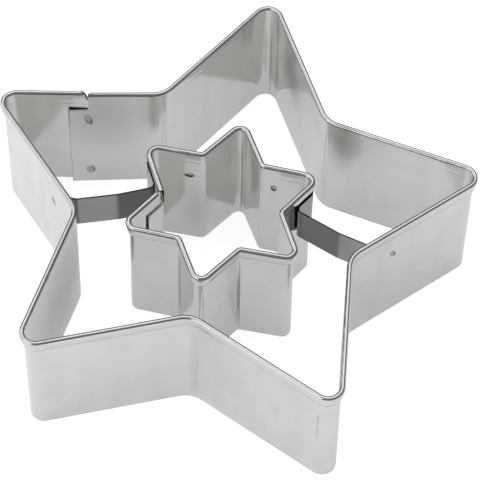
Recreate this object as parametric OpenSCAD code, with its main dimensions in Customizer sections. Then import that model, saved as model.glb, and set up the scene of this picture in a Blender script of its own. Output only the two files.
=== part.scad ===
// Star-in-star cookie cutter: a five-pointed outer band and a six-pointed inner
// band bent from tinplate strip, held together by two carrying strips.
// The cutting edges stand on z = 0 and the folded rims are at the top.
// One arm of the outer star points along +Y.

/* [Sheet] */
// Height of both bands, from the cutting edge to the top of the rim
band_h = 25; // [16:1:45]
// Thickness of the bands
sheet = 0.3; // [0.2:0.05:0.4]
// Width across the folded rim
rim_w = 1; // [0.9:0.05:1.2]
// How far the folded flap reaches down the outside
hem_drop = 2.4; // [1.6:0.1:3.4]
// Opening between the foot of the flap and the band
hem_gap = 0.1; // [0.05:0.01:0.2]

/* [Outer star] */
// Centre to the point where the two walls of an arm would meet
outer_reach = 46.6; // [42:0.5:60]
// Centre to the point where two arms would meet
outer_valley = 24.9; // [22:0.1:28]
// Bend radius of the sheet at the tips
outer_tip_r = 2.1; // [1.2:0.1:4]
// Bend radius of the sheet between the arms
outer_valley_r = 5; // [2:0.5:8]

/* [Inner star] */
// Centre to the point where the two walls of an arm would meet
inner_reach = 17.4; // [16:0.2:19]
// Centre to the point where two arms would meet
inner_valley = 10.3; // [9.6:0.1:11]
// Bend radius of the sheet at the tips
inner_tip_r = 1.2; // [0.8:0.1:1.6]
// Bend radius of the sheet between the arms
inner_valley_r = 1.3; // [1.2:0.1:1.8]
// Turn of the inner star about the vertical, in degrees
inner_turn = -1.1; // [-4:0.1:4]
// Sideways place of the inner star, from the centre of the outer one
inner_x = 0.1; // [-1:0.1:1]
// Lengthways place of the inner star, from the centre of the outer one
inner_y = -0.9; // [-2:0.1:1]

/* [Lap seams] */
// How far the plain tabs lie below the rim
tab_drop = 4.5; // [3.6:0.1:8]
// How far each tab of the outer band laps past the joint of the rim
outer_lap = 3.5; // [2:0.1:5]
// How far the inner band's inside tab laps past the valley
inner_lap = 3.7; // [3:0.1:5]
// Gap between the two layers of the outer lap, where they stand furthest apart
outer_lap_gap = 0.3; // [0.2:0.05:0.5]
// Gap between the two layers of the inner lap
inner_lap_gap = 0.1; // [0.05:0.05:0.2]
// Corner radius of the rim's ends at the outer joint
rim_corner_r = 1.2; // [0.6:0.1:2]
// Width of the slit between the rim's ends
rim_slit = 0.2; // [0.1:0.05:0.4]

/* [Carrying strips] */
// Height of the strips
strip_h = 7.6; // [5:0.1:10]
// Thickness of the strips
strip_t = 0.3; // [0.2:0.05:0.4]
// Space between the foot of the flap and the top of the strips
strip_drop = 0.4; // [0.2:0.1:3]
// Space between the strips and the bands, which their welds bridge
strip_gap = 0.2; // [0.1:0.05:0.3]
// Left strip: from the valley of the inner star to the fold
left_leave = 3; // [2.6:0.1:4.2]
// Right strip: from the valley of the inner star to the fold
right_leave = 4; // [2.6:0.1:4.2]
// Left strip: from the valley of the outer star to the bend
left_land = 4.2; // [3.4:0.1:8]
// Right strip: from the valley of the outer star to the bend
right_land = 5.9; // [3.4:0.1:8]
// From the end of each strip to the valley behind the inner star's tip
wrap_end = 1; // [0.8:0.1:2]
// Length of the pads on the outer band
pad_l = 7.5; // [5:0.1:10]
// Radius of the fold at the inner star
fold_r = 1; // [0.5:0.1:1.2]
// Radius of the bend at the outer band
land_r = 2.5; // [1:0.1:4]

/* [Spot welds] */
// Diameter of the welds and of the marks that the electrodes leave
weld_d = 1.6; // [1:0.1:2.4]
// Depth of the marks
weld_depth = 0.1; // [0.05:0.01:0.15]
// Height of the lower weld of a lap
weld_low = 3; // [2:0.1:6]
// Distance of the upper weld of a lap below the top of its tabs
weld_high_drop = 2.6; // [2:0.1:6]
// From the end of each strip to its weld on the inner star
weld_in = 1.5; // [1.3:0.1:2.4]

/* [Hidden] */
$fn = 64;

// Where the outer band's rim is joined, as a share of the wall from tip to valley
joint_share = 0.55;
// Width of a weld mark at its bottom, as a share of its width at the face
mark_foot_share = 0.6;
// A bend is swept in steps of at most this many degrees
bend_step = 12.5;
// Steps round the folded rim
rim_steps = 8;
// Space between the inner lap's outside tab and the fold of the strip beside it
tab_clearance = 0.5;
// How far the tools of a cut run past the face that they start from
over = 1;

outer_arms = 5;
inner_arms = 6;
tab_h = band_h - tab_drop;
strip_top = band_h - hem_drop - strip_drop;
strip_base = strip_top - strip_h;
strip_mid = strip_base + strip_h / 2;
lap_welds = [weld_low, tab_h - weld_high_drop];
rim_r = rim_w / 2;
rim_out = rim_w - sheet / 2;
outer_layer = sheet + outer_lap_gap;
inner_layer = sheet + inner_lap_gap;
// From the middle of a band's sheet to the middle of a strip beside it
carry = sheet / 2 + strip_gap + strip_t / 2;

function unit(v) = v / norm(v);
function left_of(v) = [-v.y, v.x];
function heading(v) = atan2(v.y, v.x);
function polar(r, angle) = [r * cos(angle), r * sin(angle)];
// Point of the line from a to b at a distance from a, moved to its left
function beside(a, b, distance, left = 0) = a + unit(b - a) * distance + left_of(unit(b - a)) * left;
// Angle of the corner at b, with left turns positive
function turn(a, b, c) = atan2(cross(b - a, c - b), (b - a) * (c - b));
function tangent_length(a, b, c, r) = r * tan(abs(turn(a, b, c)) / 2);
// Corner at b after the two lines that meet there are moved to their left
function moved_corner(a, b, c, before, after) =
    let (p = left_of(unit(b - a)), q = left_of(unit(c - b)))
    b + [before * q.y - after * p.y, after * p.x - before * q.x] / cross(p, q);

// Clockwise corners of a star: a tip, then the valley after it, and so on
function star(arms, reach, valley, first, centre) = [
    for (i = [0 : 2 * arms - 1])
        centre + polar(i % 2 == 0 ? reach : valley, first - i * 180 / arms)
];

// Half the angle of an outer arm, and how far out the centres of its tip bends lie
outer_half = atan2(outer_valley * sin(180 / outer_arms),
                   outer_reach - outer_valley * cos(180 / outer_arms));
bend_reach = outer_reach - outer_tip_r / sin(outer_half);
// The star's centre lies behind the middle of the box round the cutter
outer_y = -bend_reach * (1 - cos(180 / outer_arms)) / 2;

O = star(outer_arms, outer_reach, outer_valley, 90 + 360 / outer_arms, [0, outer_y]);
I = star(inner_arms, inner_reach, inner_valley, 90 + 360 / inner_arms + inner_turn,
         [inner_x, outer_y + inner_y]);

// Stations along a path: each is a point and the direction to the left of the path.
// Run clockwise round a star, left is the way out

function arc(a, b, c, r) =
    let (
        angle = turn(a, b, c),
        side = sign(angle),
        centre = beside(b, a, tangent_length(a, b, c, r), -side * r),
        steps = ceil(abs(angle) / bend_step)
    )
    [
        for (k = [0 : steps])
            let (left = polar(1, heading(b - a) + 90 + angle * k / steps))
            [centre - left * side * r, left]
    ];

function stations(path, radii) =
    let (last = len(path) - 1)
    concat(
        [[path[0], left_of(unit(path[1] - path[0]))]],
        [for (i = [1 : 1 : last - 1]) each arc(path[i - 1], path[i], path[i + 1], radii[i])],
        [[path[last], left_of(unit(path[last] - path[last - 1]))]]
    );

// Section of a hemmed band, with x to the left and y upwards. The sheet rises, turns
// over in a half round and comes down as a flap that closes on the wall. Each entry
// holds the two points that face each other across the sheet
function hemmed_section(from) =
    let (
        centre = [rim_r - sheet / 2, band_h - rim_r],
        foot = [sheet / 2 + hem_gap, band_h - hem_drop]
    )
    concat(
        [[[-sheet / 2, from], [sheet / 2, from]]],
        [
            for (k = [0 : rim_steps])
                let (way = polar(1, 180 - 180 * k / rim_steps))
                [centre + way * rim_r, centre + way * (rim_r - sheet)]
        ],
        [[foot + [sheet, 0], foot]]
    );

// Carries the hemmed section along stations
module hemmed(stations, from = 0) {
    section = hemmed_section(from);
    m = len(section);
    n = 2 * m;
    last = len(stations) - 1;
    points = [
        for (s = stations, face = [0, 1], pair = section)
            let (q = pair[face], p = s[0] + s[1] * q.x)
            [p.x, p.y, q.y]
    ];
    loop = concat([for (j = [0 : m - 1]) m + j], [for (j = [m - 1 : -1 : 0]) j]);
    sides = [
        for (i = [0 : last - 1], j = [0 : n - 1])
            let (p = loop[j], q = loop[(j + 1) % n])
            [(i + 1) * n + p, (i + 1) * n + q, i * n + q, i * n + p]
    ];
    start = [for (j = [0 : m - 2]) [j, m + j, m + j + 1, j + 1]];
    end = [for (j = [0 : m - 2]) last * n * [1, 1, 1, 1] + [j, j + 1, m + j + 1, m + j]];
    polyhedron(points = points, faces = concat(sides, start, end), convexity = 8);
}

// Carries a plain upright sheet along stations
module plain(stations, thickness, from, to) {
    last = len(stations) - 1;
    translate([0, 0, from]) linear_extrude(height = to - from) polygon(concat(
        [for (i = [0 : last]) stations[i][0] - stations[i][1] * thickness / 2],
        [for (i = [last : -1 : 0]) stations[i][0] + stations[i][1] * thickness / 2]
    ));
}

// Places a tool at a height on a wall, with its +Z along the level direction n
module facing(p, n, z) {
    translate([p.x, p.y, z]) rotate([90, 0, heading(n) + 90]) children();
}

// Flat-bottomed dent that an electrode leaves in the face that the tool stands on
module weld_mark() {
    translate([0, 0, -weld_depth])
        cylinder(d1 = weld_d * mark_foot_share, d2 = weld_d, h = weld_depth);
    cylinder(d = weld_d, h = over);
}

// Weld metal between the middles of two layers
module weld_metal(from, to, z) {
    facing(from, to - from, z) cylinder(d = weld_d, h = norm(to - from));
}

// Outer band: its ends lap on the back wall of the left arm

joint = norm(O[1] - O[0]) * joint_share;
outer_out = left_of(unit(O[1] - O[0]));
// The end that laps inside leans inwards all the way from the valley
lean_end = beside(O[0], O[1], joint - outer_lap, -outer_layer);
lean_out = left_of(unit(O[1] - lean_end));
lean_joint = beside(lean_end, O[1], outer_lap);
joint_point = beside(O[0], O[1], joint);
right_end = beside(lean_end, O[1], outer_lap + rim_slit / 2);
left_end = beside(O[0], O[1], joint - rim_slit / 2);

// Rounds the corners of the rim on both sides of the joint
module rim_corner_cut() {
    translate(joint_point + outer_out * (rim_out + over))
        rotate([90, 0, heading(O[1] - O[0])])
            linear_extrude(height = rim_out + outer_layer + 2 * over)
                translate([0, band_h - rim_corner_r]) difference() {
                    translate([-rim_corner_r, 0]) square([2 * rim_corner_r, rim_corner_r + over]);
                    for (side = [-1, 1]) translate([side * rim_corner_r, 0]) circle(r = rim_corner_r);
                }
}

module outer_band() {
    path = concat([right_end], [for (i = [1 : len(O) - 1]) O[i]], [O[0], left_end]);
    radii = concat(
        0,
        [for (i = [1 : len(O) - 1]) i % 2 == 0 ? outer_tip_r : outer_valley_r],
        [outer_tip_r, 0]
    );
    color("silver") difference() {
        union() {
            hemmed(stations(path, radii));
            plain(stations([lean_end, right_end], [0, 0]), sheet, 0, tab_h);
            plain(stations([left_end, beside(O[0], O[1], joint + outer_lap)], [0, 0]), sheet, 0, tab_h);
            for (z = lap_welds) weld_metal(lean_joint, joint_point, z);
        }
        rim_corner_cut();
        for (z = lap_welds) facing(lean_joint - lean_out * sheet / 2, -lean_out, z) weld_mark();
        for (pad = pads) facing(pad[0] + pad[1] * sheet / 2, pad[1], strip_mid) weld_mark();
    }
}

// Inner band: its ends lap round the left valley, I[11]

in_tip = I[10];
in_valley = I[11];
out_tip = I[0];
lap_turn = turn(in_tip, in_valley, out_tip);
// The end that comes from the left arm's back wall turns the valley inside
inside_corner = moved_corner(in_tip, in_valley, out_tip, -inner_layer, 0);
inside_end = beside(in_valley, in_tip, inner_lap, inner_layer);
inside_tangent = tangent_length(inside_end, inside_corner, out_tip, inner_valley_r);
rim_start = beside(inside_corner, out_tip, inside_tangent + rim_slit);
// The other end turns it outside, and stops short of the strip's fold
outside_corner = moved_corner(in_tip, in_valley, out_tip, 0, inner_layer);
outside_end = beside(in_valley, out_tip, left_leave - tab_clearance, inner_layer);
outside_r = inner_layer;
outside_tangent = tangent_length(in_tip, outside_corner, outside_end, outside_r);
// Its rim stops before that bend, and leaves room for the flap of the other rim
rim_end = beside(in_valley, in_tip,
                 max(norm(outside_corner - in_valley) + outside_tangent, rim_out * sin(lap_turn)) + rim_slit);

module inner_band() {
    path = concat([rim_start], [for (i = [0 : 10]) I[i]], [rim_end]);
    radii = concat(0, [for (i = [0 : 10]) i % 2 == 0 ? inner_tip_r : inner_valley_r], 0);
    lap_at = (inside_tangent + inner_lap) / 2;
    color("silver") difference() {
        union() {
            hemmed(stations(path, radii));
            plain(stations([inside_end, inside_corner, rim_start], [0, inner_valley_r, 0]), sheet, 0, tab_h);
            plain(stations([rim_end, outside_corner, outside_end], [0, outside_r, 0]), sheet, 0, tab_h);
            // Above the tabs both ends run straight on, to a slit in the valley
            hemmed(stations([beside(inside_corner, out_tip, rim_slit), rim_start], [0, 0]), tab_h);
            plain(stations([rim_end, beside(in_valley, in_tip, rim_slit)], [0, 0]), sheet, tab_h, band_h - rim_r);
            for (z = [weld_low, tab_h / 2])
                weld_metal(beside(in_valley, in_tip, lap_at, inner_layer), beside(in_valley, in_tip, lap_at), z);
        }
        for (hold = holds) facing(hold[0] - hold[1] * sheet / 2, -hold[1], strip_mid) weld_mark();
    }
}

// Carrying strips: each wraps a tip of the inner star from behind, leaves its front
// wall at a fold and ends in a pad on the inside of the outer band

function out_of(a, b) = left_of(unit(b - a));
hold_at = wrap_end + weld_in;
pad_weld = pad_l / 2;
// Middle of the band's sheet at each weld, and the way out of the star there
holds = [
    [beside(I[1], I[0], hold_at), out_of(I[0], I[1])],
    [beside(I[3], I[4], hold_at), out_of(I[3], I[4])]
];
pads = [
    [beside(O[9], O[0], left_land + pad_weld), out_of(O[9], O[0])],
    [beside(O[5], O[4], right_land + pad_weld), out_of(O[4], O[5])]
];

// side is 1 where the corners given run clockwise and -1 where they run back
function strip_path(side, valley, tip, back, outer_valley, outer_tip, leave, land) = [
    beside(outer_valley, outer_tip, land + pad_l, -side * carry),
    beside(outer_valley, outer_tip, land, -side * carry),
    beside(valley, tip, leave, side * carry),
    moved_corner(valley, tip, back, side * carry, side * carry),
    beside(back, tip, wrap_end, -side * carry)
];

module carrying_strip(path, hold, pad) {
    color("gray") {
        plain(stations(path, [0, land_r, fold_r, inner_tip_r + carry, 0]), strip_t, strip_base, strip_top);
        weld_metal(hold[0] + hold[1] * carry, hold[0] + hold[1] * sheet / 2, strip_mid);
        weld_metal(pad[0] - pad[1] * carry, pad[0] - pad[1] * sheet / 2, strip_mid);
    }
}

module left_strip() {
    path = strip_path(1, I[11], I[0], I[1], O[9], O[0], left_leave, left_land);
    carrying_strip(path, holds[0], pads[0]);
}

module right_strip() {
    path = strip_path(-1, I[5], I[4], I[3], O[5], O[4], right_leave, right_land);
    carrying_strip(path, holds[1], pads[1]);
}

outer_band();
inner_band();
left_strip();
right_strip();
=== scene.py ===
"""Tinplate cookie cutter: a six-pointed star carried inside a five-pointed star.

The cutter is bent from four strips of sheet steel. Two are bright tinned bands with a
hemmed rim, and two plain strips carry the inner star. Each piece here is a surface
carried along a track, with its lap seam, the dents of its spot welds and the slight
waves of hand bending.
"""

import logging
from dataclasses import dataclass, field
from enum import Enum

import bpy
import numpy as np
from mathutils import Matrix, Vector


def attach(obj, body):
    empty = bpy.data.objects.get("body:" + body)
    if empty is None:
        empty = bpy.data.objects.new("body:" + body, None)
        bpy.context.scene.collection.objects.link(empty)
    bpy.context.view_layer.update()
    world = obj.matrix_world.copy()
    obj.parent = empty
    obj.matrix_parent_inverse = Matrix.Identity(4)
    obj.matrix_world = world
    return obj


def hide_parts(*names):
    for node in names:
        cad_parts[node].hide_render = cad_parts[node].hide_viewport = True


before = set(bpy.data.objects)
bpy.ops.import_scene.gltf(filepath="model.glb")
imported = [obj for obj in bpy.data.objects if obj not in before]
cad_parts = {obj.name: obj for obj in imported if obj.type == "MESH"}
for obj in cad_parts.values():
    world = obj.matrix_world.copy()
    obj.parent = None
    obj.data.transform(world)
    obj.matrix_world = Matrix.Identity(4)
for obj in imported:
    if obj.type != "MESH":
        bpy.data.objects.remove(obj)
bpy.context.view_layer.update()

LOG = logging.getLogger("cutter")
Array, Socket = np.ndarray, bpy.types.NodeSocket

# The cutter's sizes and the camera's are in millimetres, and this makes them metres
MM = 0.001
BODY = "root"
# Marks whose half size is this or more are soft, and need no close places
SOFT = 2.0
# Places along a track lie no closer than the first of these, and heights than the second
LEAST_STEP, LEAST_RISE = 0.08, 0.15
# Greatest step up a hemmed wall, and greatest turn between stations in degrees
WALL_RISE, BEND_STEP = 1.6, 5.0
# Rounding of the cut edges along a strip
EDGE = 0.05


def srgb(code: str) -> tuple[float, float, float, float]:
    """Turns an sRGB hex colour into linear values.

    Args:
        code: six hex digits, with or without a leading hash.

    Returns:
        Linear red, green and blue, and an alpha of 1.
    """
    part = np.array([int(code.lstrip("#")[i : i + 2], 16) for i in (0, 2, 4)]) / 255
    low = part / 12.92
    high = ((part + 0.055) / 1.055) ** 2.4
    return (*np.where(part <= 0.04045, low, high).tolist(), 1.0)


def smooth(x: Array, low: float, high: float) -> Array:
    """Goes from 0 at low to 1 at high along 3t^2 - 2t^3."""
    t = np.clip((x - low) / (high - low), 0, 1)
    return t * t * (3 - 2 * t)


def spaced(values: Array, step: float) -> Array:
    """Values in rising order, moved to whole steps, so that none lie too close."""
    return np.unique(np.round(values / step)) * step


def around(middle: float, half: float, count: int, margin: float) -> Array:
    """Even steps on both sides of a mark, to so many of its half sizes."""
    return middle + np.arange(-count, count + 1) / count * half * margin


def polar(r: float | Array, degrees: float | Array) -> Array:
    """Points at a distance and a heading from the origin; +X is 0 and +Y is 90."""
    a = np.radians(degrees)
    return np.stack([r * np.cos(a), r * np.sin(a)], -1)


def unit(v: Array) -> Array:
    """The direction of v, with a length of 1."""
    return v / np.linalg.norm(v)


def left_of(v: Array) -> Array:
    """v turned a quarter turn to the left."""
    return np.array([-v[1], v[0]])


def beside(a: Array, b: Array, distance: float, left: float = 0.0) -> Array:
    """The point of the line from a to b at a distance from a, moved to the line's left."""
    way = unit(b - a)
    return a + way * distance + left_of(way) * left


def moved_corner(a: Array, b: Array, c: Array, before: float, after: float) -> Array:
    """The corner at b after the two lines that meet there are moved to their left.

    Args:
        a: start of the first line.
        b: corner.
        c: end of the second line.
        before: how far the first line moves.
        after: how far the second line moves.

    Returns:
        The new corner.
    """
    p, q = left_of(unit(b - a)), left_of(unit(c - b))
    cross = p[0] * q[1] - p[1] * q[0]
    return b + np.array([before * q[1] - after * p[1], after * p[0] - before * q[0]]) / cross


def star(arms: int, reach: float, valley: float, first: float, centre: Array) -> Array:
    """Corners of a star, clockwise: a tip, then the valley after it, and so on.

    Args:
        arms: number of arms.
        reach: centre to the corner of an arm.
        valley: centre to the corner between two arms.
        first: heading of the first tip in degrees.
        centre: centre of the star.

    Returns:
        An array of 2 * arms corners.
    """
    i = np.arange(2 * arms)
    return centre + polar(np.where(i % 2 == 0, reach, valley), first - i * 180 / arms)


class Track:
    """Middle line of a strip, seen from above: straight walls joined by round bends.

    A segment starts at a point with a heading, has a length and turns evenly by an
    angle along it. The angle is zero on a wall.
    """

    def __init__(self, corners: Array, radii: Array) -> None:
        """Works out the segments.

        Args:
            corners: the points that the walls' lines run between.
            radii: bend radius at each corner; the first and the last aren't used.
        """
        step = np.diff(corners, axis=0)
        size = np.linalg.norm(step, axis=1)
        way = step / size[:, None]
        head = np.arctan2(way[:, 1], way[:, 0])
        turn = (np.diff(head) + np.pi) % (2 * np.pi) - np.pi
        self.cut = np.zeros(len(corners))
        self.cut[1:-1] = radii[1:-1] * np.tan(np.abs(turn) / 2)
        n = 2 * len(corners) - 3
        self.start = np.empty((n, 2))
        self.head, self.size, self.turn = np.empty(n), np.empty(n), np.zeros(n)
        self.start[::2] = corners[:-1] + way * self.cut[:-1, None]
        self.start[1::2] = corners[1:-1] - way[:-1] * self.cut[1:-1, None]
        self.head[::2], self.head[1::2] = head, head[:-1]
        self.size[::2] = size - self.cut[:-1] - self.cut[1:]
        self.size[1::2] = radii[1:-1] * np.abs(turn)
        self.turn[1::2] = turn
        self.knots = np.concatenate([[0], np.cumsum(self.size)])

    @property
    def length(self) -> float:
        """Length of the whole track."""
        return float(self.knots[-1])

    def from_corner(self, corner: int, distance: float) -> float:
        """How far along the track a point of the wall after a corner lies."""
        return float(self.knots[2 * corner] + distance - self.cut[corner])

    def bend(self, corner: int, share: float = 0.5) -> float:
        """How far along the track a share of the bend at a corner lies."""
        return float(self.knots[2 * corner - 1] + share * self.size[2 * corner - 1])

    def locate(self, along: Array) -> tuple[Array, Array]:
        """The segment of each distance along the track, and its place there as a share."""
        index = np.clip(np.searchsorted(self.knots, along, "right") - 1, 0, len(self.size) - 1)
        return index, (along - self.knots[index]) / self.size[index]

    def place(self, index: Array, share: Array) -> tuple[Array, Array]:
        """Points on segments: start + chord, where an arc of angle t and length s has a
        chord of s * sin(t / 2) / (t / 2) that runs half the angle off its start.

        Args:
            index: segments.
            share: places in them.

        Returns:
            The points, and the directions to the left of the track there.
        """
        turned = self.turn[index] * share
        chord = self.size[index] * share * np.sinc(turned / (2 * np.pi))
        head = self.head[index]
        half = head + turned / 2
        point = self.start[index] + chord[..., None] * np.stack([np.cos(half), np.sin(half)], -1)
        head = head + turned
        return point, np.stack([-np.sin(head), np.cos(head)], -1)


class Face(Enum):
    """Side of a sheet, by its place in a section's pairs."""

    INNER = 0
    OUTER = 1


@dataclass(frozen=True)
class Dent:
    """Mark on one face of a sheet, pressed in, darker, or both; its darker crescent is painted
    shade, and its darker middle is a weld's tint on welds and painted shade on the other marks.

    Attributes:
        along: place along the track.
        height: place above the cutting edge.
        depth: greatest depth, which is 0 for a mark of colour alone.
        length: half width along the track.
        rise: half height.
        face: side of the sheet that is pressed in.
        skew: how far the mark leans along the track for each unit of height.
        shade_side: the side with the crescent of painted shade, in degrees from ahead towards
            up.
        body: how dark its middle is.
        crescent_shade: how dark the crescent of painted shade is.
        fade: where its colour starts to fade, as a share of its reach.
    """

    along: float
    height: float
    depth: float = 0.12
    length: float = 0.75
    rise: float = 0.85
    face: Face = Face.INNER
    skew: float = 0.0
    shade_side: float = 30.0
    body: float = 0.45
    crescent_shade: float = 1.0
    fade: float = 0.9

    def at(self, along: Array, height: Array) -> tuple[Array, Array]:
        """The mark at places along the track and above the edge.

        Args:
            along: places along the track.
            height: places above the edge.

        Returns:
            How deep the mark is: depth * (1 - step) from 0.55 of its reach on, and how
            dark: body inside it, and burn on a crescent of painted shade on its shaded side.
        """
        up = (height - self.height) / self.rise
        ahead = (along - self.along - self.skew * (height - self.height)) / self.length
        reach = np.hypot(up, ahead)
        turn = np.radians(self.shade_side)
        side = (ahead * np.cos(turn) + up * np.sin(turn)) / np.maximum(reach, 0.01)
        crescent = smooth(reach, 0.55, 0.85) * smooth(side, 0.3, 0.9)
        dark = self.body + (self.crescent_shade - self.body) * crescent
        dark = dark * (1 - smooth(reach, self.fade, 1.15))
        return self.depth * (1 - smooth(reach, 0.55, 1.0)), dark


def bend_shade_line(along: float, face: Face, body: float = 0.35, length: float = 0.17) -> Dent:
    """The fine upright line that the edge of the bending die presses into a bend, darkened with
    painted shade of the bend.
    """
    return Dent(along, 11.0, 0.05, length, 10.5, face, shade_side=180, body=body, crescent_shade=1.6 * body)


def painted_shade_patch(
    along: float,
    height: float,
    length: float,
    rise: float,
    body: float,
    face: Face = Face.INNER,
    fade: float = 0.0,
) -> Dent:
    """A soft patch of painted shade on the metal, which isn't pressed in."""
    return Dent(along, height, 0.0, length, rise, face, body=body, crescent_shade=body, fade=fade)


@dataclass(frozen=True)
class Wave:
    """Slight bulge or hollow of the whole sheet: amount * exp(-a^2 - h^2).

    It lies at a place and a height like a dent. The amount moves the sheet to the
    track's left, and the length and the rise are the bulge's reach.
    """

    along: float
    height: float
    amount: float
    length: float
    rise: float

    def at(self, along: Array, height: Array) -> Array:
        """The movement at places along the track and above the edge."""
        a, h = (along - self.along) / self.length, (height - self.height) / self.rise
        return self.amount * np.exp(-(a * a) - h * h)


def placed(name: str, data: bpy.types.ID) -> bpy.types.Object:
    """Puts an object into the scene.

    Args:
        name: its name.
        data: the mesh, light or camera that it is made of.

    Returns:
        The object.
    """
    thing = bpy.data.objects.new(name, data)
    bpy.context.scene.collection.objects.link(thing)
    return thing


class Shell:
    """Closed sheet-metal surfaces gathered into one mesh."""

    def __init__(self) -> None:
        """Starts with nothing."""
        self.parts: list[tuple[Array, ...]] = []
        self.faces: list[Array] = []
        self.count = 0

    def add(self, grid: Array, spread: Array, tint_and_shade: Array, raw: Array) -> None:
        """Adds the closed tube of a section along stations, with both ends closed.

        Args:
            grid: points by station, pair and face, with x, y and z in the last axis.
            spread: the sheet's own flat coordinates, laid out in the same way.
            tint_and_shade: how much of the dark mark colour each point has: a weld's tint, and
                painted shade in the patches, bend lines, crease and crescents.
            raw: 1 where the sheet's edge is raw and dark, partly with painted shade, and -1
                where it is lightened with a painted highlight.
        """
        n, m = grid.shape[:2]
        number = np.arange(n * m * 2).reshape(n, m, 2) + self.count
        loop = np.concatenate([number[:, :, 1], number[:, ::-1, 0]], 1)
        ahead = np.roll(loop, -1, 1)
        sides = np.stack([loop[:-1], ahead[:-1], ahead[1:], loop[1:]], -1).reshape(-1, 4)
        first, last = number[0], number[-1]
        start = np.stack([first[:-1, 0], first[1:, 0], first[1:, 1], first[:-1, 1]], -1)
        end = np.stack([last[:-1, 1], last[1:, 1], last[1:, 0], last[:-1, 0]], -1)
        self.parts.append(
            (grid.reshape(-1, 3), spread.reshape(-1, 2), tint_and_shade.reshape(-1), raw.reshape(-1))
        )
        self.faces += [sides, start, end]
        self.count += n * m * 2

    def build(self, name: str, node: str, material: bpy.types.Material) -> None:
        """Makes the object, and lets it stand for a CAD node.

        Args:
            name: name of the object.
            node: CAD node that it replaces, whose material slot has the same name.
            material: its finish.
        """
        points, spread, tint_and_shade, raw = (np.concatenate(part) for part in zip(*self.parts))
        faces = np.concatenate(self.faces)
        mesh = bpy.data.meshes.new(name)
        mesh.vertices.add(len(points))
        mesh.vertices.foreach_set("co", (points * MM).ravel())
        mesh.loops.add(faces.size)
        mesh.loops.foreach_set("vertex_index", faces.ravel())
        mesh.polygons.add(len(faces))
        mesh.polygons.foreach_set("loop_start", np.arange(len(faces)) * 4)
        mesh.polygons.foreach_set("loop_total", np.full(len(faces), 4))
        mesh.polygons.foreach_set("use_smooth", np.ones(len(faces), bool))
        layer = mesh.uv_layers.new(name="sheet")
        layer.data.foreach_set("uv", (spread * MM)[faces.ravel()].ravel())
        # Colour marks: weld tint with painted shade, and the edges' painted shade and highlight
        for key, values in (("weld_tint_and_shade", tint_and_shade), ("edge_shade_highlight", raw)):
            mark = mesh.attributes.new(key, "FLOAT", "POINT")
            mark.data.foreach_set("value", values)
        mesh.update(calc_edges=True)
        mesh.validate()
        mesh.set_sharp_from_angle(angle=np.radians(40))
        mesh.materials.append(material)
        piece = placed(name, mesh)
        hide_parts(node)
        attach(piece, BODY)
        LOG.info("%s: %d faces", name, len(faces))


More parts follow.
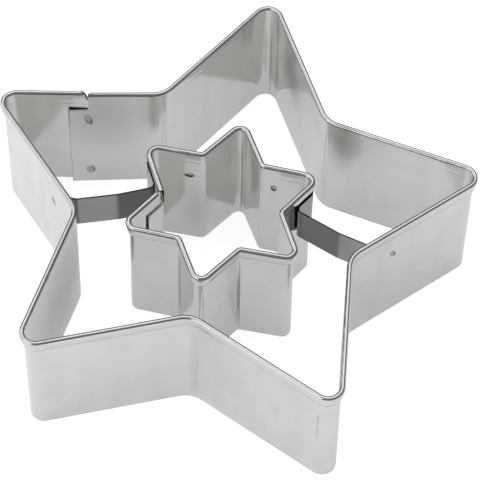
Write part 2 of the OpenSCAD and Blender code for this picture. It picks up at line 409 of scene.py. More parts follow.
@dataclass
class Sheet:
    """A strip of sheet that stands upright on a track.

    The track may differ between the foot and the top of the sheet, and every point
    lies on the line between the two.

    Attributes:
        foot: its middle line at the height 0.
        top: its middle line at the top height.
        flare: how far the foot stands to the left of its track.
        edge_shade_highlight: of its lower and upper edge, 1 for raw and dark, partly painted
            shade, and -1 for a painted highlight.
        bevel: length of the bevel at its ends.
        raw_share: share of its distance from the track that a point of the plain part
            keeps at a raw end.
    """

    thickness: float
    foot: Track
    top: Track
    top_height: float
    dents: list[Dent] = field(default_factory=list)
    waves: list[Wave] = field(default_factory=list)
    flare: float = 0.0
    edge_shade_highlight: float = -1.0
    bevel: float = 0.1
    raw_share: float = 0.3

    def stations(self, start: float, end: float, wall_step: float) -> Array:
        """Places along the track that follow its bends and its marks closely.

        Args:
            start: first place.
            end: last place.
            wall_step: greatest step on a wall.

        Returns:
            Places in rising order.
        """
        knots, sizes, turns = self.foot.knots, self.foot.size, self.foot.turn
        steps = np.where(turns == 0, sizes / wall_step, np.abs(np.degrees(turns)) / BEND_STEP)
        parts = [
            np.linspace(low, low + size, int(np.ceil(n)) + 1)
            for low, size, n in zip(knots, sizes, steps)
        ]
        parts += [around(d.along, d.length, 10, 1.4) for d in self.dents if d.length < SOFT]
        parts += [around(w.along, w.length, 4, 2) for w in self.waves]
        every = spaced(np.concatenate(parts), LEAST_STEP)
        every = every[(every > start + 1.5 * self.bevel) & (every < end - 1.5 * self.bevel)]
        return np.concatenate([[start, start + self.bevel], every, [end - self.bevel, end]])

    def heights(self, low: float, high: float, step: float) -> Array:
        """Heights that follow the marks closely.

        Args:
            low: lowest height.
            high: highest height.
            step: greatest step away from a mark.

        Returns:
            Heights in rising order.
        """
        parts = [np.linspace(low, high, int(np.ceil((high - low) / step)) + 1)]
        parts += [around(d.height, d.rise, 8, 1.3) for d in self.dents if d.rise < SOFT]
        every = spaced(np.concatenate(parts), LEAST_RISE)
        every = every[(every > low + LEAST_RISE) & (every < high - LEAST_RISE)]
        return np.concatenate([[low], every, [high]])

    def carry(
        self,
        shell: Shell,
        along: Array,
        section: Array,
        rounded: tuple[float, float] = (0.0, 0.0),
        raw_ends: tuple[bool, bool] = (False, False),
    ) -> None:
        """Carries a section along the track: point + left * across, at a height.

        The upper corners of the sheet's ends can be rounded: over the last r of the
        height an end draws back by r - sqrt(r^2 - rise^2), and the draw fades out over
        3 mm of track. The plain part of a raw end is bevelled by the raw share.

        Args:
            shell: where the surface goes.
            along: stations.
            section: pairs of points across the sheet, by pair and face; each point is
                a place to the left of the track and a height.
            rounded: radii of the upper corners at the first and the last station.
            raw_ends: whether each of the two is a raw cut end that shows.
        """
        across, height = section[..., 0], section[..., 1]
        plain = np.abs(across) <= self.thickness / 2 + 1e-6
        places = np.broadcast_to(along[:, None, None], (len(along), *across.shape)).copy()
        for radius, near, way in zip(rounded, along[[0, -1]], (1, -1)):
            if radius:
                rise = np.clip(height - self.top_height + radius, 0, radius)
                draw = radius - np.sqrt(radius**2 - rise**2)
                fade = 1 - smooth(np.abs(along - near), 0.0, 3.0)
                places += way * fade[:, None, None] * draw
        index, share = self.foot.locate(places)
        share = np.clip(share, -1, 2)
        foot, foot_left = self.foot.place(index, share)
        top, top_left = self.top.place(index, share)
        t = (height / self.top_height)[None, :, :, None]
        left = foot_left + (top_left - foot_left) * t
        left /= np.linalg.norm(left, axis=-1, keepdims=True)
        level = np.broadcast_to(height, places.shape)
        out = np.broadcast_to(across, places.shape).copy()
        # Tone of the edges: the dark of raw ends is partly painted shade of the gaps beside
        # them, and the light of the bands' long edges is a painted highlight
        raw = np.zeros(places.shape)
        raw[:, [0, -1]] = self.edge_shade_highlight
        out += self.flare * (1 - height / self.top_height)
        for shown, last in zip(raw_ends, (0, -1)):
            if shown:
                raw[last] = 1
                out[last] *= np.where(plain, self.raw_share, 1)
        for wave in self.waves:
            out = out + wave.at(places, level)
        tint_and_shade = np.zeros(places.shape)
        for dent in self.dents:
            press, dark = dent.at(places, level)
            own = np.zeros(places.shape)
            own[..., dent.face.value] = 1
            way = 1 if dent.face is Face.INNER else -1
            out = out + way * press * own * plain
            # The marks' darkness: a weld's tint, and painted shade in the patches, bend lines,
            # crease and crescents
            tint_and_shade = np.maximum(tint_and_shade, dark * own)
        spot = foot + (top - foot) * t + left * out[..., None]
        grid = np.concatenate([spot, level[..., None]], -1)
        shell.add(grid, np.stack([places, level + out * 0.5], -1), tint_and_shade, raw)

    def carry_lapped(
        self,
        shell: Shell,
        stars: "Stars",
        ends: tuple[float, float],
        tab: float,
        steps: tuple[float, float, float],
        rim_corners: tuple[float, float] = (0.0, 0.0),
    ) -> None:
        """Carries a hemmed part, and a plain tab with a raw end at each side of it.

        Args:
            shell: where the surfaces go.
            stars: the sizes of the rim.
            ends: where the hemmed part starts and ends.
            tab: height of the tabs.
            steps: greatest steps along the hemmed part, along a tab and up a tab.
            rim_corners: radii of the rim's upper corners at both ends.
        """
        low_end, high_end = ends
        rim_step, tab_step, tab_rise = steps
        walls = self.heights(0, stars.turn_height, WALL_RISE)
        along = self.stations(low_end, high_end, rim_step)
        self.carry(shell, along, stars.hemmed(walls), rim_corners)
        plain = plain_section(self.thickness, self.heights(0, tab, tab_rise))
        start = self.stations(0, low_end, tab_step)
        end = self.stations(high_end, self.top.length, tab_step)
        # The tabs' raw ends are dark, partly painted shade of the gap at the lap
        self.carry(shell, start, plain, raw_ends=(True, False))
        self.carry(shell, end, plain, raw_ends=(False, True))


def pairs(inner: Array, outer: Array, height: Array) -> Array:
    """A section by pair and face, from the places of both faces and their heights."""
    return np.stack([np.stack([inner, height], -1), np.stack([outer, height], -1)], 1)


def plain_section(thickness: float, heights: Array) -> Array:
    """Section of a plain sheet whose cut edges are slightly rounded.

    Args:
        thickness: of the sheet.
        heights: from the lower to the upper edge.

    Returns:
        Pairs of points, by pair and face.
    """
    low, high = heights[0], heights[-1]
    inside = heights[(heights > low + 1.5 * EDGE) & (heights < high - 1.5 * EDGE)]
    z = np.concatenate([[low, low + EDGE], inside, [high - EDGE, high]])
    half = np.full(len(z), thickness / 2)
    half[0] = half[-1] = thickness / 2 - EDGE
    return pairs(-half, half, z)


@dataclass
class Stars:
    """Sizes that both bands share, the corners of the two stars and the section of the rim.

    A reach goes from a star's centre to where the straight lines of an arm's walls would
    meet, and a valley to where those of two arms would. A drop counts down from the top
    of the rim, which is folded over outwards, and the hem's gap is the opening between
    the wall and the foot of the flap.
    """

    height: float = 25.0
    sheet: float = 0.3
    rim: float = 1.0
    hem_drop: float = 2.4
    hem_gap: float = 0.1
    # Depth of the line that the flap's foot prints on the inside
    print_depth: float = 0.015
    tab_drop: float = 4.5
    outer_reach: float = 46.6
    outer_valley: float = 24.9
    outer_tip_r: float = 2.1
    outer_valley_r: float = 5.0
    inner_reach: float = 17.4
    inner_valley: float = 10.3
    inner_tip_r: float = 1.2
    inner_valley_r: float = 1.3
    # The inner star's turn in degrees, and its centre from the outer star's
    inner_turn: float = -1.1
    inner_at: tuple[float, float] = (0.1, -0.9)
    # Height of the middle of the carrying strips
    strip_mid: float = 18.4

    @property
    def bent(self) -> Array:
        """How far hand bending moved each outer corner: the front left tip is a little
        short."""
        moved = np.zeros((10, 2))
        moved[8] = -polar(0.75, -126)
        return moved

    @property
    def tab_height(self) -> float:
        """Height of the plain tabs."""
        return self.height - self.tab_drop

    @property
    def turn_height(self) -> float:
        """Height at which the rim's half round starts."""
        return self.height - self.rim / 2

    def hemmed(self, heights: Array) -> Array:
        """Section of the wall with its rim: a wall, a half round and a flap that closes
        in along t^1.5, where t goes from 0 to 1 down the flap.

        Args:
            heights: of the wall, up to the half round.

        Returns:
            Pairs of points, by pair and face.
        """
        s, r = self.sheet, self.rim / 2
        low = heights[0]
        line = self.height - self.hem_drop + np.linspace(-0.6, 0.6, 9)
        heights = np.sort(np.concatenate([heights, line]))
        z = np.concatenate([[low, low + EDGE], heights[heights > low + 1.5 * EDGE]])
        half = np.full(len(z), s / 2)
        half[0] -= EDGE
        pressed = self.print_depth * np.exp(-(((z - line[4]) / 0.2) ** 2))
        wall = pairs(pressed - half, half, z)
        angle = np.linspace(180, 0, 17)[1:]
        centre = np.array([r - s / 2, self.turn_height])
        arc = np.stack([centre + polar(r, angle), centre + polar(r - s, angle)], 1)
        t = np.linspace(0, 1, 7)[1:]
        tip = np.array([s / 2 + self.hem_gap, self.height - self.hem_drop])
        side = centre + np.array([r, 0])
        x = side[0] + (tip[0] + s - side[0]) * t**1.5
        flap = pairs(x, x - s, side[1] + (tip[1] - side[1]) * t)
        foot = flap[-1] + np.array([[-EDGE, -EDGE], [EDGE, -EDGE]])
        return np.concatenate([wall, arc, flap, foot[None]])

    @property
    def centre(self) -> Array:
        """Centre of the outer star, which lies behind the middle of its box."""
        step = np.radians(36)
        half = np.arctan2(
            self.outer_valley * np.sin(step), self.outer_reach - self.outer_valley * np.cos(step)
        )
        bend_reach = self.outer_reach - self.outer_tip_r / np.sin(half)
        return np.array([0.0, -bend_reach * (1 - np.cos(step)) / 2])

    @property
    def outer(self) -> Array:
        """Corners of the outer star, from the left tip."""
        return star(5, self.outer_reach, self.outer_valley, 162.0, self.centre)

    @property
    def inner(self) -> Array:
        """Corners of the inner star, from the back left tip."""
        centre = self.centre + np.array(self.inner_at)
        return star(6, self.inner_reach, self.inner_valley, 150.0 + self.inner_turn, centre)


@dataclass
class OuterBand:
    """Hemmed band bent to a five-pointed star, lapped on the back wall of its left arm.

    Attributes:
        joint_share: where the lap's middle lies, as a share of the way to the valley.
        joint_back: how far nearer to the tip it lies than that.
        lap: how far each tab goes past the lap's middle.
        lap_gap: gap between the tabs at the height of the rim.
        foot_lean: how much wider the gap is at the foot.
        tab_lift: how far the tabs stand higher than in the solid.
        rim_corners: radii of the upper corners of the rim's two ends.
        slit: width of the slit between them.
        pad_welds: from the left and the right valley to the welds of the strips' pads.
    """

    stars: Stars
    finish: bpy.types.Material
    joint_share: float = 0.55
    joint_back: float = 0.25
    lap: float = 3.65
    lap_gap: float = 0.12
    foot_lean: float = 0.5
    tab_lift: float = 0.3
    flare: float = 0.3
    rim_corners: tuple[float, float] = (1.2, 1.9)
    slit: float = 0.04
    pad_welds: tuple[float, float] = (9.1, 9.65)

    def track(self, lean: float) -> Track:
        """The band's middle line, from the end that laps inside to the other end.

        Args:
            lean: how far the inside end's middle lies from the other end's.

        Returns:
            The line.
        """
        s = self.stars
        wall = float(np.linalg.norm(s.outer[1] - s.outer[0]))
        joint = wall * self.joint_share - self.joint_back
        corners = s.outer + s.bent
        first = beside(corners[0], corners[1], joint - self.lap, -lean)
        last = beside(corners[0], corners[1], joint + self.lap)
        path = np.concatenate([[first], corners[1:], corners[:1], [last]])
        odd = np.arange(len(path)) % 2 == 1
        return Track(path, np.where(odd, s.outer_valley_r, s.outer_tip_r))

    def marks(self, track: Track, tab: float) -> tuple[list[Dent], list[Wave]]:
        """The welds, the crease, the die's lines with their painted shade and the patches of
        painted shade, and the curl at the top of the inside tab and the waves of the bends.

        Args:
            track: middle line of the band.
            tab: height of the tabs.

        Returns:
            The dents and the waves.
        """
        mid, at, bend = self.stars.strip_mid, track.from_corner, track.bend
        left = at(9, self.pad_welds[0])
        right = at(5, -self.pad_welds[1])
        lapped = self.lap - 0.1
        crease = at(6, 3.8)
        dents = [
            # Spot welds: pressed dents whose darker middle is the weld's tint and whose crescent
            # is painted shade
            Dent(lapped, tab - 2.6, 0.14, 0.75, 1.45, skew=-0.2, shade_side=-10, body=0.55),
            Dent(lapped - 0.1, 3.6, 0.14, 0.8, 1.1, shade_side=5),
            Dent(left, mid - 1.8, 0.12, 0.5, 1.25, Face.OUTER, 0.3, shade_side=0, body=0.15),
            Dent(right, mid - 1, 0.12, 0.6, 0.9, Face.OUTER, 0.25, shade_side=200),
            # The crease is pressed in, and its darker colour is painted shade
            Dent(crease, 15.4, 0.06, 0.16, 4.2, Face.OUTER, 0.01, shade_side=180, body=0.15),
            # Lines in the bends: pressed in slightly, and darkened with painted shade
            bend_shade_line(bend(2, 0.62), Face.INNER),
            bend_shade_line(bend(1, 0.5), Face.INNER, 0.1, 0.6),
            bend_shade_line(bend(3, 0.6), Face.INNER, 0.1, 0.6),
            bend_shade_line(bend(7, 0.4), Face.OUTER, 0.06, 0.9),
            # Patches of painted shade, darker where the walls mirror shade
            painted_shade_patch(self.lap + 2.5, 20, 12, 13, 0.36),
            painted_shade_patch(at(1, -2.6), 20, 2.6, 8, 0.3),
            painted_shade_patch(at(2, 12), 16.5, 7, 8, 0.55),
            painted_shade_patch(at(3, 3.6), 21, 3.6, 11, 0.45),
            painted_shade_patch(at(8, 22), 12, 22, 18, 0.5),
        ]
        waves = [
            Wave(0, tab, -0.1, 2.6, 1.2),
            Wave(bend(2), 11, 0.22, 0.4, 9),
            Wave(bend(10), 12, 0.3, 0.6, 12),
            Wave(bend(7), 11, -0.1, 0.5, 9),
            Wave(bend(1, 0.3), 10, -0.08, 0.35, 9),
            Wave(bend(3, 0.7), 10, -0.08, 0.35, 9),
        ]
        return dents, waves

    def build(self) -> None:
        """Makes the band."""
        s = self.stars
        layer = s.sheet + self.lap_gap
        track, foot = self.track(layer), self.track(layer + self.foot_lean)
        tab = s.tab_height + self.tab_lift
        band = Sheet(s.sheet, foot, track, s.height, *self.marks(track, tab), self.flare)
        ends = (self.lap + self.slit / 2, track.length - self.lap - self.slit / 2)
        shell = Shell()
        band.carry_lapped(shell, s, ends, tab, (1.4, 0.4, 1.6), self.rim_corners)
        shell.build("outer_star", "outer_band", self.finish)


@dataclass
class InnerBand:
    """Hemmed band bent to a six-pointed star, lapped round its left valley.

    Attributes:
        lap: how far the inside tab goes past the valley.
        slit: from the lap's inside bend to the start of the full hem, and from the
            valley to the rim's end above it.
        tab_lift: how far the tabs stand higher than in the solid.
        rim_stop: from the lap's outside bend to the end of the full hem.
        bare_stop: from the valley to the end of the single sheet above the tab.
        outside_length: how far the outside tab goes past the valley.
        hold: from the two back valleys to the welds of the wraps.
    """

    stars: Stars
    finish: bpy.types.Material
    lap: float = 4.4
    lap_gap: float = 0.03
    slit: float = 0.2
    tab_lift: float = 1.0
    rim_stop: float = 0.75
    bare_stop: float = 0.8
    outside_length: float = 2.5
    flare: float = 0.25
    hold: float = 2.5

    @property
    def layer(self) -> float:
        """How far the middles of the two tabs lie apart."""
        return self.stars.sheet + self.lap_gap

    @property
    def tab(self) -> float:
        """Height of the tabs."""
        return self.stars.tab_height + self.tab_lift

    @property
    def track(self) -> Track:
        """The band's middle line, from the end that laps inside to the other end."""
        s = self.stars
        i = s.inner
        before, valley, after = i[10], i[11], i[0]
        inside_corner = moved_corner(before, valley, after, -self.layer, 0)
        inside_end = beside(valley, before, self.lap, self.layer)
        outside_corner = moved_corner(before, valley, after, 0, self.layer)
        outside_end = beside(valley, after, self.outside_length, self.layer)
        path = np.array([inside_end, inside_corner, *i[:11], outside_corner, outside_end])
        even = np.arange(len(path)) % 2 == 0
        radii = np.where(even, s.inner_tip_r, s.inner_valley_r)
        radii[-2] = self.layer
        return Track(path, radii)

    @property
    def ends(self) -> tuple[float, float]:
        """Where the full hem starts and ends."""
        track = self.track
        low = track.from_corner(1, float(track.cut[1]) + self.slit)
        high = track.from_corner(len(track.cut) - 2, -float(track.cut[-2]) - self.rim_stop)
        return low, high

    def marks(self) -> tuple[list[Dent], list[Wave]]:
        """The strips' welds, the die's lines with their painted shade and a patch of painted
        shade, and the waves of the bends and the curl at the end of the inside tab.

        Returns:
            The dents and the waves.
        """
        mid, at, bend = self.stars.strip_mid, self.track.from_corner, self.track.bend
        dents = [
            # Spot welds: their darker middle is the weld's tint, and their crescent is painted
            # shade
            Dent(at(3, -self.hold), mid + 0.3, 0.16, 0.95, 0.55, shade_side=215),
            Dent(at(5, self.hold), mid + 1, 0.16, 0.55, 0.85, shade_side=180),
            # Lines in the bends, darkened with painted shade
            bend_shade_line(bend(4, 0.6), Face.INNER, 0.5),
            bend_shade_line(bend(9, 0.4), Face.OUTER, 0.5),
            bend_shade_line(bend(10, 0.3), Face.OUTER, 0.2),
            bend_shade_line(bend(11, 0.6), Face.OUTER, 0.35),
            # A patch of painted shade
            painted_shade_patch(at(2, 8.5), 9, 4.5, 12, 0.25),
        ]
        bulges = {4: 0.18, 8: -0.1, 9: -0.2, 10: 0.15, 11: -0.15}
        waves = [Wave(bend(k), 11, amount, 0.3, 9) for k, amount in bulges.items()]
        return dents, [*waves, Wave(0, 8, -0.22, 0.8, 9)]

    def build(self) -> None:
        """Makes the band."""
        s = self.stars
        track = self.track
        band = Sheet(s.sheet, track, track, s.height, *self.marks(), self.flare)
        shell = Shell()
        band.carry_lapped(shell, s, self.ends, self.tab, (1.0, 0.5, 2.0))
        self.straight_ends(shell)
        shell.build("inner_star", "inner_band", self.finish)

    def straight_ends(self, shell: Shell) -> None:
        """Adds the ends above the tabs, which run straight on to a slit in the valley:
        the first one hemmed, the last one as a single sheet.

        Args:
            shell: where the surfaces go.
        """
        s, track = self.stars, self.track
        before, valley, after = s.inner[10], s.inner[11], s.inner[0]
        near = [track.place(*track.locate(np.array(a)))[0] for a in self.ends]
        corner = moved_corner(before, valley, after, -self.layer, 0)
        rim = Track(np.array([beside(corner, after, self.slit), near[0]]), np.zeros(2))
        last = beside(valley, before, self.bare_stop)
        bare = Track(np.array([near[1], last]), np.zeros(2))
        folded = s.hemmed(np.linspace(self.tab, s.turn_height, 5))
        single = plain_section(s.sheet, np.linspace(self.tab, s.height, 5))
        for line, section, first in ((rim, folded, True), (bare, single, False)):
            end = Sheet(s.sheet, line, line, s.height, flare=self.flare)
            along = np.linspace(0, line.length, 6)
            # Their raw ends at the slit are dark, partly painted shade of the slit
            end.carry(shell, along, section, raw_ends=(first, not first))


@dataclass
class CarryingStrip:
    """Strip that wraps a tip of the inner star and ends in a pad on the outer band.

    Attributes:
        name: name of the piece.
        node: CAD node that it replaces.
        side: 1 where its inner star corners run clockwise, and -1 where they run back.
        corners: numbers of the inner star's valley, tip and back valley.
        outer: numbers of the outer star's valley and tip.
        leave: from the inner valley to the fold.
        land: from the outer valley to the bend.
        gap: from the bands' walls to the strip.
        wrap_gap: from the inner star's front wall to the strip.
        wrap_end: how near to the back valley the wrap goes.
        kink: how far the hand-set kink stands out of the straight line.
        kink_share: where it is, as a share of the way from the outer to the inner star.
        inner_shade: how much painted shade darkens the steel from the kink to the inner star.
    """

    stars: Stars
    finish: bpy.types.Material
    name: str
    node: str
    side: int
    corners: tuple[int, int, int]
    outer: tuple[int, int]
    leave: float
    land: float
    thickness: float = 0.3
    gap: float = 0.2
    wrap_gap: float = 0.2
    low: float = 14.6
    high: float = 22.2
    wrap_end: float = 1.0
    pad: float = 7.5
    kink: float = 0.4
    kink_share: float = 0.57
    kink_r: float = 0.8
    inner_shade: float = 0.5
    fold_r: float = 1.0
    land_r: float = 2.5

    def build(self) -> None:
        """Makes the strip."""
        s = self.stars
        valley, tip, back = (s.inner[k] for k in self.corners)
        outer_valley, outer_tip = (s.outer[k] for k in self.outer)
        carry = self.side * (s.sheet / 2 + self.gap + self.thickness / 2)
        wrap = self.side * (s.sheet / 2 + self.wrap_gap + self.thickness / 2)
        bend = beside(outer_valley, outer_tip, self.land, -carry)
        fold = beside(valley, tip, self.leave, wrap)
        to_kink = float(np.linalg.norm(fold - bend)) * self.kink_share
        start = beside(outer_valley, outer_tip, self.land + self.pad, -carry)
        kink = beside(bend, fold, to_kink, -self.side * self.kink)
        corner = moved_corner(valley, tip, back, wrap, carry)
        end = beside(back, tip, self.wrap_end, -carry)
        path = np.array([start, bend, kink, fold, corner, end])
        tip_r = s.inner_tip_r + abs(carry)
        radii = np.array([0, self.land_r, self.kink_r, self.fold_r, tip_r, 0])
        track = Track(path, radii)
        half = (track.bend(3) - track.bend(2)) / 2
        front = Face.INNER if self.side > 0 else Face.OUTER
        # So much higher than the strip that its colour is even from edge to edge
        size = (half, 8 * self.high)
        # Painted shade darkens the steel from the kink to the inner star, for the dark wall that
        # it mirrors there
        inner_shade = painted_shade_patch(track.bend(2) + half, self.low, *size, self.inner_shade, front, 1.0)
        # Its raw long edges and ends are dark, partly painted shade of the gaps beside them
        strip = Sheet(self.thickness, track, track, self.high, [inner_shade], edge_shade_highlight=1.0)
        shell = Shell()
        section = plain_section(self.thickness, np.linspace(self.low, self.high, 13))
        along = strip.stations(0, track.length, 0.6)
        strip.carry(shell, along, section, raw_ends=(True, True))
        shell.build(self.name, self.node, self.finish)


class Graph:
    """Shader nodes of one material or world."""

    def __init__(self, tree: bpy.types.NodeTree) -> None:
        """Empties the tree, to fill it with nodes."""
        self.tree = tree
        tree.nodes.clear()

    def add(self, kind: str, settings: dict | None = None, **sockets: object) -> bpy.types.Node:
        """Adds a node.

        Args:
            kind: its type.
            settings: its properties.
            sockets: values, hex colours or linked outputs by input, with spaces as
                underscores; an input may also be named in_ and its number.

        Returns:
            The node.
        """
        node = self.tree.nodes.new(kind)
        for key, value in (settings or {}).items():
            setattr(node, key, value)
        for key, value in sockets.items():
            number = key.removeprefix("in_")
            socket = node.inputs[int(number) if number.isdigit() else key.replace("_", " ")]
            if isinstance(value, Socket):
                self.tree.links.new(value, socket)
            else:
                socket.default_value = srgb(value) if isinstance(value, str) else value
        return node

    def math(self, operation: str, *values: object) -> Socket:
        """Adds a sum or the like of up to three values, and gives its result."""
        sockets = {f"in_{number}": value for number, value in enumerate(values)}
        return self.add("ShaderNodeMath", {"operation": operation}, **sockets).outputs[0]

    def noise(self, vector: object, scale: float, detail: float, rough: float = 0.5) -> object:
        """Adds a noise pattern, and gives its value."""
        sockets = {"Vector": vector, "Scale": scale, "Detail": detail, "Roughness": rough}
        return self.add("ShaderNodeTexNoise", **sockets).outputs[0]

    def sized(self, vector: object, along: float, up: float) -> Socket:
        """Makes places count in steps of so many millimetres along and up the sheet."""
        scale = (1 / (along * MM), 1 / (up * MM), 1)
        return self.add("ShaderNodeMapping", Vector=vector, Scale=scale).outputs[0]

    def ranged(self, value: object, source: tuple, target: tuple) -> Socket:
        """Carries values from one range over to another, and holds them inside it."""
        sockets = dict(zip(("From_Min", "From_Max", "To_Min", "To_Max"), (*source, *target)))
        return self.add("ShaderNodeMapRange", Value=value, **sockets).outputs[0]

    def mix(self, share: object, first: object, second: object) -> Socket:
        """Mixes two colours, each a hex code or an output, by the second one's share."""
        sockets = {"Factor": share, "in_6": first, "in_7": second}
        return self.add("ShaderNodeMix", {"data_type": "RGBA"}, **sockets).outputs[2]


@dataclass(frozen=True)
class RolledSheet:
    """Cold-rolled sheet metal, a soft mirror whose rolling lines run along the strip.

    Its haze makes it rougher in patches, it buckles slightly like any thin sheet, a
    spot weld leaves it duller and darker, painted shade darkens its patches, bend lines
    and dent crescents in the same colour, a raw cut edge is dark, partly with painted
    shade of the gaps beside it, and a painted highlight lightens the bands' long edges.

    Attributes:
        colour: of the clean sheet.
        tint_and_shade_colour: of weld marks, which is their tint, and of the painted shade in
            patches, bend lines, the crease and dent crescents.
        edge: of raw cut edges, partly painted shade of the gaps beside them.
        edge_highlight: of the bands' long edges, a painted highlight.
        roughness: of the smoothest and the haziest places.
        line_width: of the rolling lines; real ones are several times finer, and these
            are as coarse as they need to be to show.
        buckle: depth of the buckles.
        buckle_size: of the buckles, along and up the sheet.
        stain: greatest share of the dark mark colour in the hazy places.
        weld_rough: how much rougher a weld mark is, and edge_rough a cut edge.
    """

    name: str = "bright_tinplate"
    colour: str = "#d9d9d7"
    tint_and_shade_colour: str = "#5b5a58"
    edge: str = "#5e5d5b"
    edge_highlight: str = "#f6f6f4"
    grain: float = 0.25
    roughness: tuple[float, float] = (0.09, 0.17)
    line_width: float = 0.25
    line_length: float = 12.0
    line_depth: float = 0.004
    haze_size: float = 6.0
    buckle: float = 0.07
    buckle_size: tuple[float, float] = (3.5, 16.0)
    stain: float = 0.05
    weld_rough: float = 0.15
    edge_rough: float = 0.55

    def material(self) -> bpy.types.Material:
        """Makes the material.

        Returns:
            The material.
        """
        material = bpy.data.materials.new(self.name)
        material.use_nodes = True
        g = Graph(material.node_tree)
        flat = g.add("ShaderNodeUVMap", {"uv_map": "sheet"}).outputs[0]
        place = g.add("ShaderNodeTexCoord").outputs["Object"]
        tint_and_shade = g.add("ShaderNodeAttribute", {"attribute_name": "weld_tint_and_shade"}).outputs["Fac"]
        raw = g.add("ShaderNodeAttribute", {"attribute_name": "edge_shade_highlight"}).outputs["Fac"]
        lines = g.noise(g.sized(flat, self.line_length, self.line_width), 1.0, 3.0, 0.6)
        haze = g.noise(place, 1 / (self.haze_size * MM), 2.0)
        buckles = g.noise(g.sized(flat, *self.buckle_size), 1.0, 1.0)
        stain = g.ranged(g.math("MULTIPLY", haze, buckles), (0.2, 0.36), (0.0, self.stain))
        rough = g.ranged(g.math("MULTIPLY", lines, haze), (0.12, 0.4), self.roughness)
        scuffed = g.math("MULTIPLY_ADD", tint_and_shade, self.weld_rough, rough)
        sheared = g.math("MULTIPLY_ADD", g.math("ABSOLUTE", raw), self.edge_rough, scuffed)
        # Weld tint and painted shade from the marks, with faint random stains
        marked = g.mix(g.math("MAXIMUM", tint_and_shade, stain), self.colour, self.tint_and_shade_colour)
        # Painted highlight on the bands' long edges, then the dark of the raw cut edges, partly
        # painted shade of the gaps beside them
        lit = g.mix(g.math("MULTIPLY", raw, -1.0), marked, self.edge_highlight)
        tone = g.mix(raw, lit, self.edge)
        sprung = g.add("ShaderNodeBump", Strength=1.0, Distance=self.buckle * MM, Height=buckles)
        normal, depth = sprung.outputs[0], self.line_depth * MM
        bump = g.add(
            "ShaderNodeBump", Strength=self.grain, Distance=depth, Height=lines, Normal=normal
        )
        shader = g.add(
            "ShaderNodeBsdfPrincipled",
            Base_Color=tone,
            Metallic=1.0,
            Roughness=sheared,
            Normal=bump.outputs[0],
        )
        g.add("ShaderNodeOutputMaterial", Surface=shader.outputs[0])
        return material


# The bands are steel with a coat of bright tin, which gives a light, clean mirror
BRIGHT_TINPLATE = RolledSheet()
# The strips are the same steel without the tin: grey and darker, with a smoky mirror
PLAIN_STEEL = RolledSheet(
    "plain_cold_rolled_steel", "#9b9b99", "#4c4c4a", "#2f2e2d", grain=0.06, roughness=(0.12, 0.2)
)


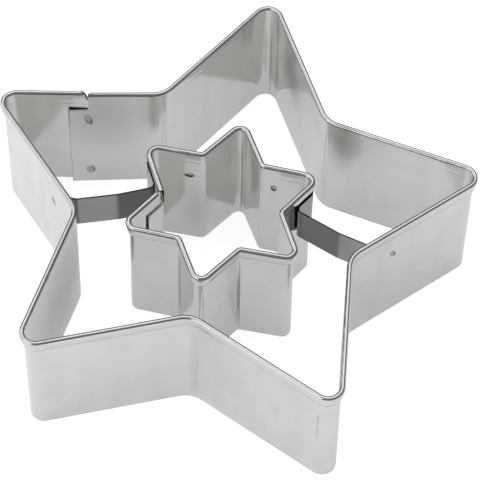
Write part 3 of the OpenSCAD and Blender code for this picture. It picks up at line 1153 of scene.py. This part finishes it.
@dataclass
class Studio:
    """White table under wide soft lights, and the camera at the photograph's angle.

    Attributes:
        floor_size: length of the table's sides, in metres.
        glow_seen: the table's own brightness where the camera sees it.
        glow_mirrored: its own brightness in the metal.
        room: brightness of the room around it.
        roll: how far the camera is turned about its own axis, in degrees.
    """

    floor_size: float = 6.0
    glow_seen: float = 0.82
    glow_mirrored: float = 0.46
    room: float = 0.2
    camera_at: tuple[float, float, float] = (44.56, -229.27, 330.34)
    target: tuple[float, float, float] = (5.00, -12.61, 25.0)
    roll: float = 1.34
    lens: float = 165.05
    sensor: float = 36.0

    def floor(self) -> None:
        """Lays a white table whose brightness is mostly its own where it is seen, so
        that it stays white and still keeps a trace of the cutter's shadow."""
        half = self.floor_size / 2
        mesh = bpy.data.meshes.new("table")
        corners = [(-half, -half, 0), (half, -half, 0), (half, half, 0), (-half, half, 0)]
        mesh.from_pydata(corners, [], [(0, 1, 2, 3)])
        material = bpy.data.materials.new("white_table")
        material.use_nodes = True
        g = Graph(material.node_tree)
        path = g.add("ShaderNodeLightPath").outputs
        mirrored = g.math("MAXIMUM", path["Is Glossy Ray"], path["Is Transmission Ray"])
        faint = g.math("MULTIPLY", mirrored, self.glow_mirrored)
        strength = g.math("MULTIPLY_ADD", path["Is Camera Ray"], self.glow_seen, faint)
        own = g.add("ShaderNodeEmission", Color="#ffffff", Strength=strength)
        matt = g.add("ShaderNodeBsdfDiffuse", Color="#f2f2f2")
        total = g.add("ShaderNodeAddShader", in_0=own.outputs[0], in_1=matt.outputs[0])
        g.add("ShaderNodeOutputMaterial", Surface=total.outputs[0])
        mesh.materials.append(material)
        placed("table", mesh)

    def lamp(self, name: str, at: tuple, size: float, glow: float) -> None:
        """Hangs a square soft lamp that faces the cutter.

        Args:
            name: name of the lamp.
            at: where its middle is, in metres.
            size: length of its sides in metres.
            glow: how bright its face is, where 1 is white; its watts are pi times the
                area times that.
        """
        data = bpy.data.lights.new(name, "AREA")
        data.shape = "SQUARE"
        data.size = size
        data.energy = np.pi * size**2 * glow
        lamp = placed(name, data)
        lamp.location = at
        lamp.rotation_euler = (-Vector(at)).to_track_quat("-Z", "Y").to_euler()

    def lights(self) -> None:
        """Hangs a wide lamp over the table, one at its left and one in front of it on
        the left, in a dim room."""
        world = bpy.data.worlds.new("studio")
        bpy.context.scene.world = world
        world.use_nodes = True
        g = Graph(world.node_tree)
        back = g.add("ShaderNodeBackground", Color="#ffffff", Strength=self.room)
        g.add("ShaderNodeOutputWorld", Surface=back.outputs[0])
        self.lamp("overhead", (-0.05, 0.35, 1.0), 1.0, 1.0)
        self.lamp("left", (-1.0, 0.05, 0.55), 1.0, 0.75)
        self.lamp("front_left", (-0.66, -0.73, 0.6), 0.95, 1.15)

    def camera(self) -> None:
        """Sets the camera, turned about its own axis by the roll."""
        at, target = Vector(self.camera_at) * MM, Vector(self.target) * MM
        back = (at - target).normalized()
        right = Vector((0, 0, 1)).cross(back).normalized()
        up = back.cross(right)
        turn = np.radians(self.roll)
        x = right * np.cos(turn) + up * np.sin(turn)
        y = up * np.cos(turn) - right * np.sin(turn)
        data = bpy.data.cameras.new("view")
        data.sensor_fit = "HORIZONTAL"
        data.sensor_width = self.sensor
        data.lens = self.lens
        data.clip_start, data.clip_end = 0.01, 20.0
        view = placed("view", data)
        view.matrix_world = Matrix.Translation(at) @ Matrix((x, y, back)).transposed().to_4x4()
        bpy.context.scene.camera = view

    def build(self) -> None:
        """Makes the table, the lights and the camera."""
        self.floor()
        self.lights()
        self.camera()
        bpy.context.scene.view_settings.view_transform = "Standard"


def main() -> None:
    """Builds the studio and the cutter, and reports each piece."""
    logging.basicConfig(level=logging.INFO)
    Studio().build()
    stars = Stars()
    tin, steel = BRIGHT_TINPLATE.material(), PLAIN_STEEL.material()
    OuterBand(stars, tin).build()
    InnerBand(stars, tin).build()
    CarryingStrip(
        stars, steel, "left_carrier", "left_strip", 1, (11, 0, 1), (9, 0),
        leave=3.0, land=4.2, low=15.0, wrap_gap=0.4,
    ).build()
    CarryingStrip(
        stars, steel, "right_carrier", "right_strip", -1, (5, 4, 3), (5, 4),
        leave=4.0, land=5.9, high=21.8, kink=0.46, kink_share=0.42, inner_shade=0.3,
    ).build()
    bpy.context.view_layer.update()


if __name__ == "__main__":
    main()
